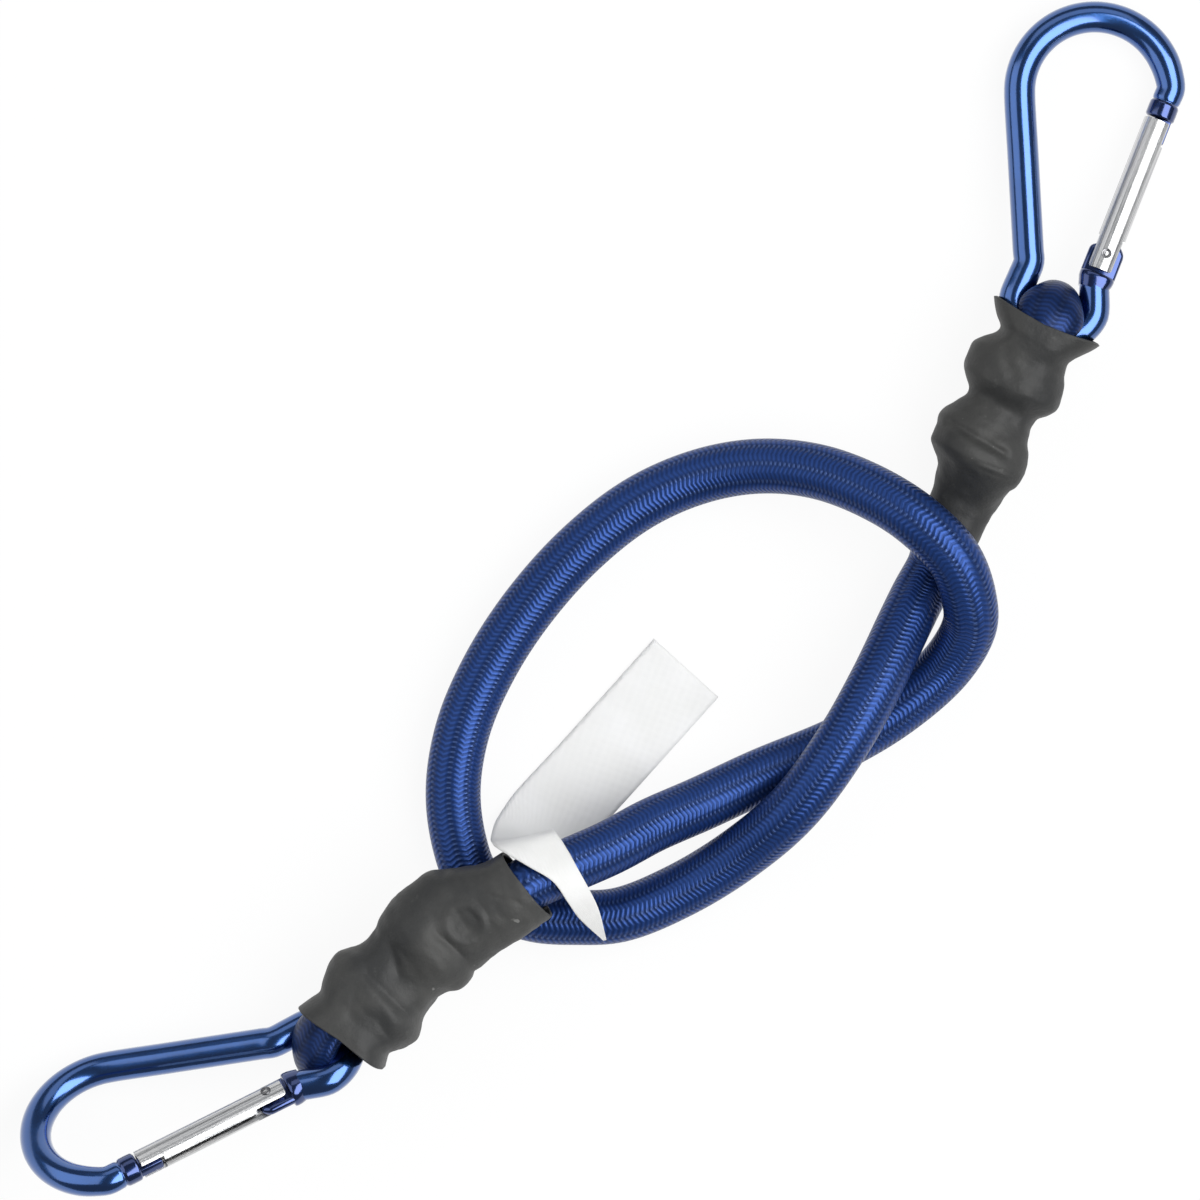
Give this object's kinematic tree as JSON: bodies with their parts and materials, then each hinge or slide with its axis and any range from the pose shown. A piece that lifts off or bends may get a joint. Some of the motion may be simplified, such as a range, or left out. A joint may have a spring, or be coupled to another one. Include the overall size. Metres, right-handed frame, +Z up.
{
  "type": "bungee cord",
  "caption": "Elastic braided cord in a loose knot, with a rubber sleeve and a gourd-shaped snap hook with a sprung gate at each end, for tying down loads.",
  "frame": {"origin": "on the surface it lies on, under the middle of the box round everything but the free cord", "axes": "+Z up, square to the surface it lies on; +Y towards the upper hook, +X to the right, seen from above"},
  "size_m": [0.2536, 0.2596, 0.0306],
  "materials": {
    "woven_cover": "fine braid",
    "core_rubber": "matte",
    "label_cloth": "smooth cloth",
    "clamp_wire": "plain wire",
    "sleeve_rubber": "satin, shrunk on",
    "anodised_blue": "glossy anodised",
    "gate_silver": "satin",
    "small_steel": "plain"
  },
  "bodies": {
    "cord": {"cord_cover": "woven_cover", "cord_core": "core_rubber", "label": "label_cloth", "upper_folded_cord": "woven_cover", "upper_front_wire_clamp": "clamp_wire", "upper_rear_wire_clamp": "clamp_wire", "upper_sleeve": "sleeve_rubber", "lower_folded_cord": "woven_cover", "lower_front_wire_clamp": "clamp_wire", "lower_rear_wire_clamp": "clamp_wire", "lower_sleeve": "sleeve_rubber"},
    "upper_hook": {"upper_hook_frame": "anodised_blue", "upper_gate_rivet": "small_steel"},
    "upper_gate": {"upper_gate": "gate_silver", "upper_gate_spring": "small_steel"},
    "upper_pusher": {"upper_spring_pusher": "small_steel"},
    "lower_hook": {"lower_hook_frame": "anodised_blue", "lower_gate_rivet": "small_steel"},
    "lower_gate": {"lower_gate": "gate_silver", "lower_gate_spring": "small_steel"},
    "lower_pusher": {"lower_spring_pusher": "small_steel"}
  },
  "joints": [
    {"name": "upper_hook_swing", "type": "hinge", "parent": "cord", "child": "upper_hook", "pos_m": [0.09421, 0.05542, 0.01241], "axis": [0.9041, -0.4274, 0], "range_deg": [-24, 39.5]},
    {"name": "upper_gate_swing", "type": "hinge", "parent": "upper_hook", "child": "upper_gate", "pos_m": [0.10922, 0.07466, 0.00957], "axis": [0.0506, 0.107, 0.993], "range_deg": [0, 35], "stiffness_Nm_per_rad": 0.08, "springref_deg": -28.65},
    {"name": "upper_pusher_slide", "type": "slide", "parent": "upper_gate", "child": "upper_pusher", "axis": [0.3651, 0.9234, -0.1182], "range_m": [0, 0.0006], "stiffness_N_per_m": 300, "springref_m": -0.002, "deforming": ["upper_gate_spring"]},
    {"name": "lower_hook_swing", "type": "hinge", "parent": "cord", "child": "lower_hook", "pos_m": [-0.05409, -0.09478, 0.01436], "axis": [-0.3838, 0.613, -0.6906], "range_deg": [-49.5, 14]},
    {"name": "lower_gate_swing", "type": "hinge", "parent": "lower_hook", "child": "lower_gate", "pos_m": [-0.07259, -0.10895, 0.02154], "axis": [0.2291, -0.6613, -0.7143], "range_deg": [0, 35], "stiffness_Nm_per_rad": 0.08, "springref_deg": -28.65},
    {"name": "lower_pusher_slide", "type": "slide", "parent": "lower_gate", "child": "lower_pusher", "axis": [-0.8884, -0.4419, 0.1241], "range_m": [0, 0.0006], "stiffness_N_per_m": 300, "springref_m": -0.002, "deforming": ["lower_gate_spring"]}
  ]
}
